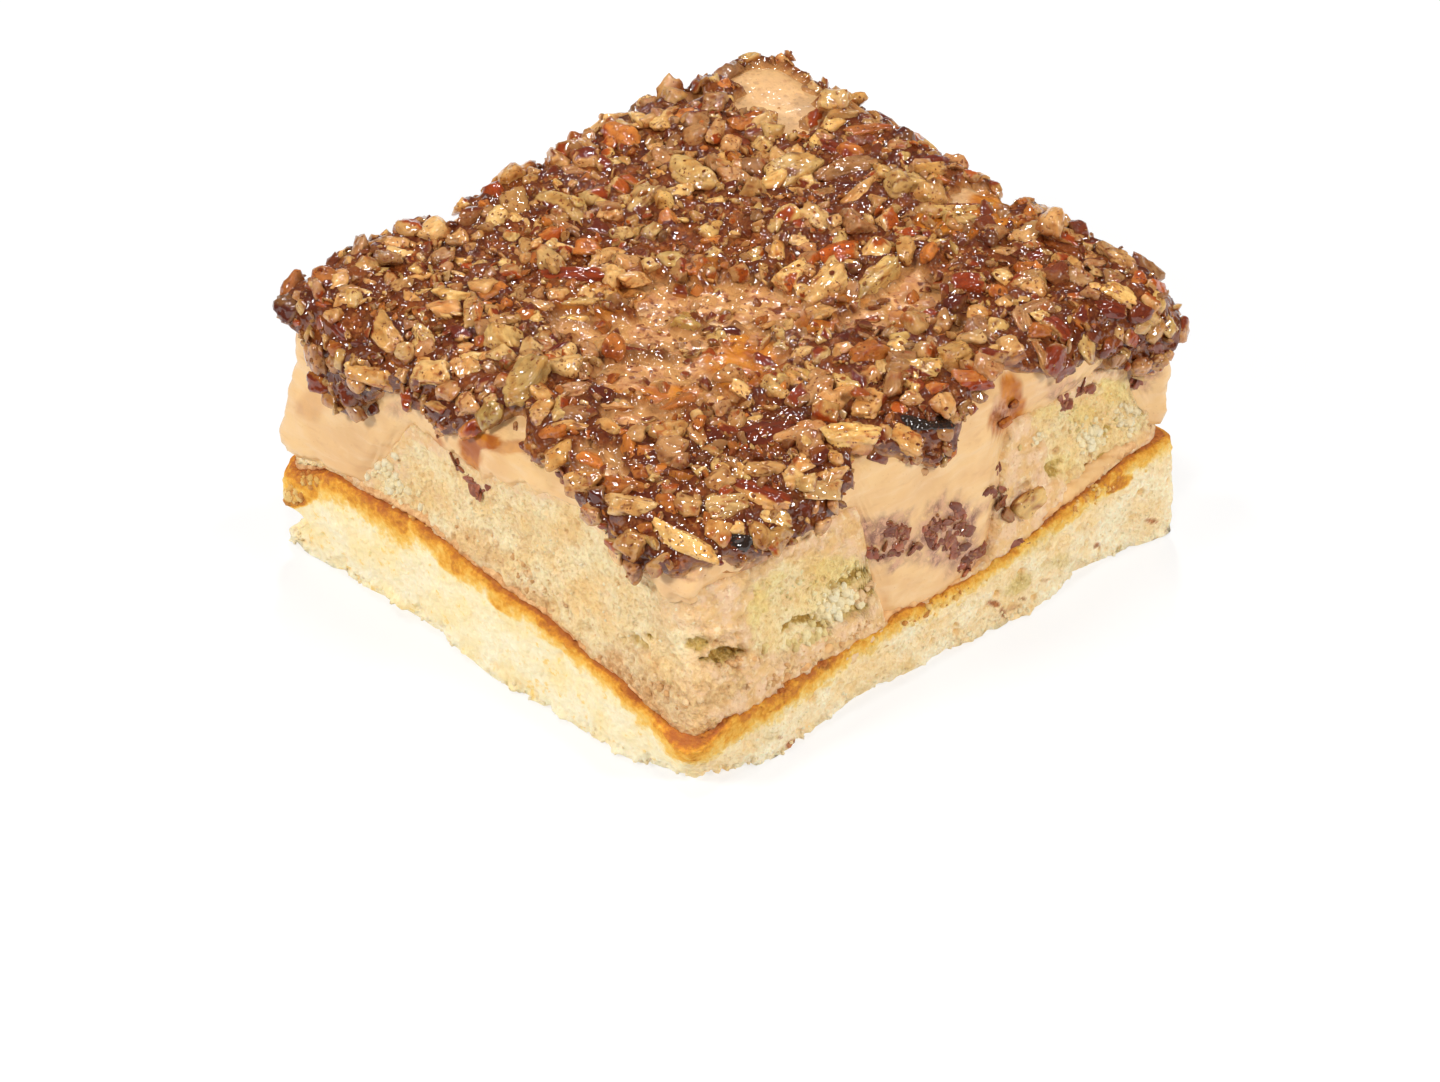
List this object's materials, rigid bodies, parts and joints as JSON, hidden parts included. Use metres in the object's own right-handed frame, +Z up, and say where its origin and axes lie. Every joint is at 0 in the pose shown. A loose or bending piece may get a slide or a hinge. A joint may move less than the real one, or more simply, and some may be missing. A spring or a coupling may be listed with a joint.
{
  "type": "pecan cake",
  "caption": "Square cut portion of layer cake: two sponge layers with caramel cream between them, caramel icing and a glazed chopped pecan topping.",
  "frame": {"origin": "middle of the bounding box in plan, on the surface the cake rests on", "axes": "+Z up, +Y along the longer cut sides, +X along the shorter cut sides; the slumped corner is at +X, -Y"},
  "size_m": [0.0822, 0.0904, 0.0453],
  "materials": {
    "base_sponge": "pale yellow sponge crumb with a browned crust along its top edge",
    "cream_filling": "soft satin caramel cream soaked into crumb",
    "upper_sponge": "pale beige open sponge crumb",
    "caramel_icing": "soft satin caramel buttercream",
    "pecan_topping": "chopped pecans in glossy brown syrup"
  },
  "bodies": {
    "root": {"base_sponge": "base_sponge", "cream_filling": "cream_filling", "upper_sponge": "upper_sponge", "caramel_icing": "caramel_icing", "pecan_topping": "pecan_topping"}
  },
  "joints": []
}
